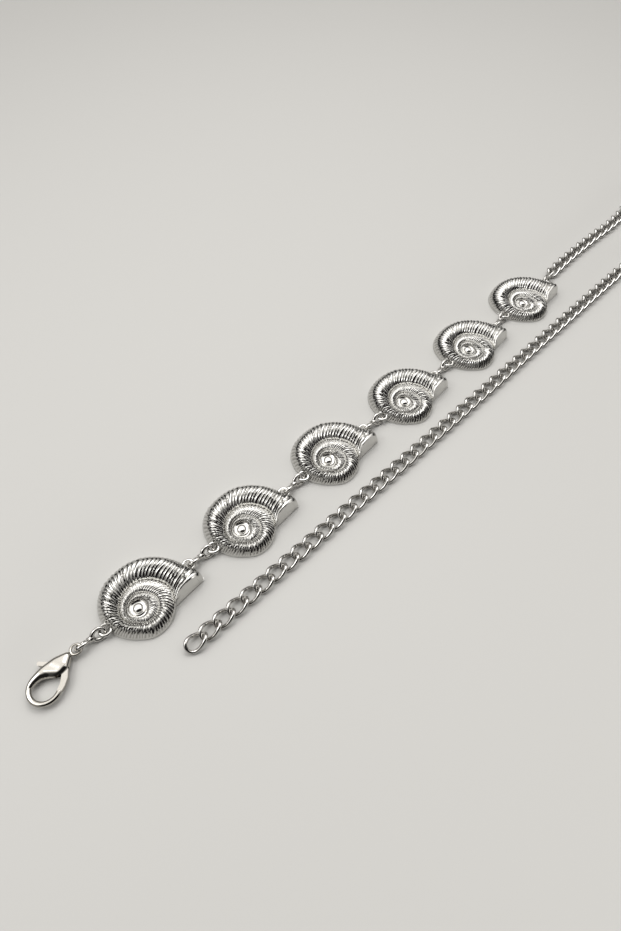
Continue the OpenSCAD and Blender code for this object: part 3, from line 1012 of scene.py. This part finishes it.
@dataclass
class Layout:
    """Where each piece lies on the table: each shell hangs on the one before it.

    Args:
        shell, double, clasp, chain: what is laid out.
        first, count: the first shell's bead in mm, and how many shells.
        lean, clasp_lean, chain_lean: the double links' directions, in degrees.
        slack: how far hooked wires stay from pulling on each other, in mm.
    """

    shell: AmmoniteShell
    double: DoubleLink
    clasp: LobsterClasp
    chain: CurbChain
    first: Pair = (-180.05, 19.06)
    count: int = 6
    lean: tuple[float, ...] = (-4, 2, -3, 3.5, 9)
    clasp_lean: float = 174.0
    chain_lean: float = 16.0
    slack: float = 0.6

    def bite(self, radius: float, wire: float) -> float:
        """How far past a ring's centre a double link's end wire hangs in it, in mm."""
        return radius - wire / 2 - self.double.wire / 2 - self.slack

    @property
    def loop_bite(self) -> float:
        """The bite in a shell's loop."""
        return self.bite(self.shell.loop_r, self.shell.loop_wire)

    @property
    def eye_bite(self) -> float:
        """The bite in the clasp's eye."""
        return self.bite(self.clasp.eye_r, self.clasp.eye_wire)

    def loop(self, k: int) -> Array:
        """Gives a loop's centre from the bead: the near one for 0, the far one for 1."""
        return np.array(self.shell.loop_place(self.shell.loop_columns[k]))

    def away(self, length: float, degrees: float) -> Array:
        """Gives a step of a length in a direction."""
        return length * np.array([math.cos(math.radians(degrees)), math.sin(math.radians(degrees))])

    def shells(self) -> list[Array]:
        """Gives each shell's bead, in mm."""
        span = self.double.length + 2 * self.loop_bite
        found = [np.array(self.first)]
        for k in range(self.count - 1):
            found.append(found[-1] + self.loop(1) + self.away(span, self.lean[k]) - self.loop(0))
        return found

    def eye(self) -> Array:
        """Gives the centre of the clasp's eye, in mm."""
        reach = self.double.length + self.loop_bite + self.eye_bite
        return self.shells()[0] + self.loop(0) + self.away(reach, self.clasp_lean)

    def doubles(self) -> list[tuple[Array, float, int]]:
        """Gives each double link's middle, its turn in degrees and its near ring's side."""
        half = self.double.length / 2
        spots = self.shells()
        at_eye = self.eye() - self.away(half + self.eye_bite, self.clasp_lean)
        found = [(at_eye, self.clasp_lean, 1)]
        for k in range(self.count - 1):
            step = self.away(half + self.loop_bite, self.lean[k])
            found.append((spots[k] + self.loop(1) + step, self.lean[k], 1))
        last = spots[-1] + self.loop(1) + self.away(half + self.loop_bite, self.chain_lean)
        found.append((last, self.chain_lean, -1))
        return found

    def chain_start(self) -> Array:
        """Gives the centre of the chain's first link, in mm."""
        hook = self.chain.half_length - (self.chain.wire + self.double.wire) / 2 - self.slack
        step = self.away(self.loop_bite + self.double.length, self.chain_lean)
        return self.shells()[-1] + self.loop(1) + step + [hook, 0]


# The studio


@dataclass
class Studio:
    """Floor, light and camera, in millimetres of the part's frame.

    Args:
        eye, forward, right, lens: the camera's place, directions and focal length.
        floor_size, floor_colour: the floor's side, and its colour in sRGB hex.
        backdrop, room_colour: what the camera, and what the metal, sees past the floor.
        horizon, ceiling, ceiling_zone: the room's light, and the heights it grows over.
        dark_side, dark_zone, darkest: the dark side's direction, reach and light.
    """

    eye: Point = (-193.80, -86.64, 214.0)
    forward: Point = (0.4012, 0.4180, -0.8150)
    right: Point = (0.7214, -0.6925, 0.0)
    lens: float = 23.36
    floor_size: float = 6000.0
    floor_colour: str = "BCBBB8"
    backdrop: str = "DAD9D6"
    room_colour: str = "FFFDFA"
    horizon: float = 0.02
    ceiling: float = 1.75
    ceiling_zone: Pair = (0.16, 0.8)
    dark_side: Point = (-0.27, -0.77, 0.58)
    dark_zone: Pair = (0.56, 0.8)
    darkest: float = 0.02

    def camera(self) -> None:
        """Sets the camera where the photograph was taken from."""
        data = bpy.data.cameras.new("camera")
        data.lens = self.lens
        data.clip_start = 0.005
        data.clip_end = 20.0
        camera = bpy.data.objects.new("camera", data)
        right, ahead = np.array(self.right), np.array(self.forward)
        up = np.cross(right, ahead)
        rows = [[right[k], up[k], -ahead[k], self.eye[k] * MM] for k in range(3)]
        camera.matrix_world = Matrix(rows + [[0, 0, 0, 1]])
        bpy.context.collection.objects.link(camera)
        bpy.context.scene.camera = camera

    def floor(self) -> None:
        """Lays a plain pale floor."""
        deselect()
        bpy.ops.mesh.primitive_plane_add(size=self.floor_size * MM, location=(0, 0, -0.02 * MM))
        floor = bpy.context.active_object
        floor.name = "floor"
        made = bpy.data.materials.new("plain_pale_floor")
        made.use_nodes = True
        shader = made.node_tree.nodes["Principled BSDF"]
        shader.inputs["Base Color"].default_value = linear(self.floor_colour)
        shader.inputs["Roughness"].default_value = 0.55
        shader.inputs["Specular IOR Level"].default_value = 0.3
        floor.data.materials.append(made)

    def softbox(self, name: str, at: Point,
                towards: Point, size: Pair, power: float,
                mirrored: bool = True) -> None:
        """Hangs a softbox.

        Args:
            name: its name.
            at, towards: its place and the point it faces, in mm.
            size, power: its width and height in mm, and its power in watts.
            mirrored: whether the metal mirrors it, or is only lit by it.
        """
        data = bpy.data.lights.new(name, "AREA")
        data.shape = "RECTANGLE"
        data.size = size[0] * MM
        data.size_y = size[1] * MM
        data.energy = power
        lamp = bpy.data.objects.new(name, data)
        back = np.array(at) - np.array(towards)
        back = back / np.linalg.norm(back)
        side = np.cross([0.0, 1.0, 0.001], back)
        side = side / np.linalg.norm(side)
        up = np.cross(back, side)
        rows = [[side[k], up[k], back[k], at[k] * MM] for k in range(3)]
        lamp.matrix_world = Matrix(rows + [[0, 0, 0, 1]])
        lamp.visible_glossy = mirrored
        bpy.context.collection.objects.link(lamp)

    def surroundings(self) -> None:
        """Surrounds the table with a pale room that is dark on one side, for the metal."""
        world = bpy.data.worlds.new("studio_room")
        world.use_nodes = True
        tree = world.node_tree
        tree.nodes.clear()
        way = add_node(tree, "ShaderNodeTexCoord").outputs["Generated"]
        facing = add_node(tree, "ShaderNodeVectorMath",
                          {"operation": "DOT_PRODUCT", "1": self.dark_side}, {"0": way})
        near_side = ramp(tree, facing.outputs["Value"], self.dark_zone, (1.0, 0.0))
        height = add_node(tree, "ShaderNodeSeparateXYZ", None, {"Vector": way})
        overhead = ramp(tree, height.outputs["Z"], self.ceiling_zone, (self.horizon, self.ceiling))
        level = add_node(tree, "ShaderNodeMath", {"operation": "MULTIPLY"},
                         {"0": near_side, "1": overhead})
        least = add_node(tree, "ShaderNodeMath", {"operation": "MAXIMUM", "1": self.darkest},
                         {"0": level.outputs["Value"]})
        room = add_node(tree, "ShaderNodeBackground", {"Color": linear(self.room_colour)},
                        {"Strength": least.outputs["Value"]})
        # past the floor the camera sees a plain pale backdrop
        backdrop = add_node(tree, "ShaderNodeBackground",
                            {"Color": linear(self.backdrop), "Strength": 1.0})
        seen = add_node(tree, "ShaderNodeMixShader", None,
                        {"0": add_node(tree, "ShaderNodeLightPath").outputs["Is Camera Ray"],
                         "1": room.outputs["Background"], "2": backdrop.outputs["Background"]})
        add_node(tree, "ShaderNodeOutputWorld", None, {"Surface": seen.outputs["Shader"]})
        bpy.context.scene.world = world

    def build(self) -> None:
        """Sets up the whole studio."""
        self.camera()
        self.floor()
        self.softbox("overhead", (120, 240, 620), (-60, 20, 0), (380, 380), 1.5)
        self.softbox("far_side", (-420, 220, 420), (-120, 20, 0), (200, 200), 0.5)
        self.softbox("low_front", (0, -480, 75), (0, 0, 10), (760, 80), 1.4, mirrored=False)
        self.surroundings()
        bpy.context.scene.view_settings.view_transform = "Standard"


def main(frame: dict) -> None:
    """Builds, dresses and reports every piece.
    """
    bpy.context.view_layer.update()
    studio = Studio()
    studio.build()
    shell, double, clasp, chain = AmmoniteShell(), DoubleLink(), LobsterClasp(), CurbChain()
    layout = Layout(shell, double, clasp, chain)

    model = shell.build()
    for k, spot in enumerate(layout.shells(), 1):
        piece = placed(model, f"ammonite_{k}", spot, 0, 0)
        dress(piece, [BRIGHT_CASTING, MATT_MOUTH], Body.BELT)
        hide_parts(f"shell_{k}")
    bpy.data.objects.remove(model, do_unlink=True)

    models = {side: double.build(side) for side in (1, -1)}
    for k, (spot, turn, side) in enumerate(layout.doubles(), 1):
        piece = placed(models[side], f"double_link_{k}", spot, double.level, turn)
        dress(piece, [PLATED_WIRE], Body.BELT)
        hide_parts(f"twin_link_{k}")
    for each in models.values():
        bpy.data.objects.remove(each, do_unlink=True)

    model = clasp.build()
    piece = placed(model, "clasp_casting", layout.eye(), clasp.shoulder_t / 2, clasp.turn)
    bpy.data.objects.remove(model, do_unlink=True)
    dress(piece, [WARM_NICKEL], Body.BELT)
    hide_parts("clasp_body")

    piece = chain.build(layout.chain_start())
    dress(piece, [PLATED_WIRE], Body.BELT)
    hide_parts("curb_chain")

    for name in ("clasp_lever", "clasp_rivet"):
        node = frame["nodes"][name]
        for slot in node.material_slots:
            slot.material = WARM_NICKEL.material()
        LOG.info("%s: CAD node kept", name)


if __name__ == "__main__":
    logging.basicConfig(level=logging.INFO, format="%(name)s %(message)s")
    main(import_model())
